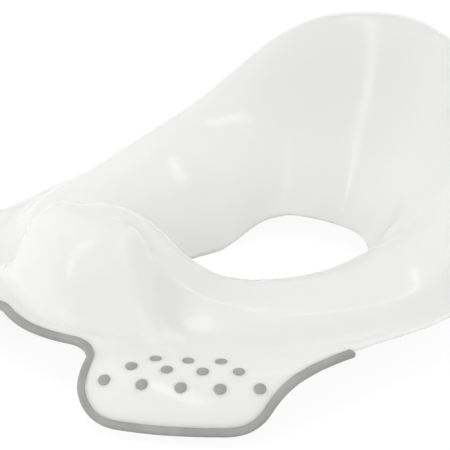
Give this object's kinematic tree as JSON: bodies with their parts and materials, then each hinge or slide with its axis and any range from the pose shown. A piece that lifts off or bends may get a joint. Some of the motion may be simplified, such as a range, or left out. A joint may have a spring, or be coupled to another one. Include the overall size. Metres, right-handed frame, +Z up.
{
  "type": "toilet seat reducer",
  "caption": "Moulded ring seat that narrows an adult toilet seat for a child, with splash guard, backrest, two grip handles, soft edge trim and studs.",
  "frame": {"origin": "centre of the bounding box in plan, on the plane of the funnel's flat rim, which is the lowest face", "axes": "+Z up, +Y towards the backrest, +X towards the sitting child's left"},
  "size_m": [0.3274, 0.37, 0.1514],
  "materials": {
    "white_shell": "smooth glossy white polypropylene",
    "soft_grip": "matt mid-grey thermoplastic rubber"
  },
  "bodies": {
    "root": {"seat_shell": "white_shell", "edge_trim": "soft_grip", "grip_stud_left_01": "soft_grip", "grip_stud_left_02": "soft_grip", "grip_stud_left_03": "soft_grip", "grip_stud_left_04": "soft_grip", "grip_stud_left_05": "soft_grip", "grip_stud_left_06": "soft_grip", "grip_stud_left_07": "soft_grip", "grip_stud_left_08": "soft_grip", "grip_stud_left_09": "soft_grip", "grip_stud_left_10": "soft_grip", "grip_stud_left_11": "soft_grip", "grip_stud_left_12": "soft_grip", "grip_stud_right_01": "soft_grip", "grip_stud_right_02": "soft_grip", "grip_stud_right_03": "soft_grip", "grip_stud_right_04": "soft_grip", "grip_stud_right_05": "soft_grip", "grip_stud_right_06": "soft_grip", "grip_stud_right_07": "soft_grip", "grip_stud_right_08": "soft_grip", "grip_stud_right_09": "soft_grip", "grip_stud_right_10": "soft_grip", "grip_stud_right_11": "soft_grip", "grip_stud_right_12": "soft_grip"}
  },
  "joints": []
}
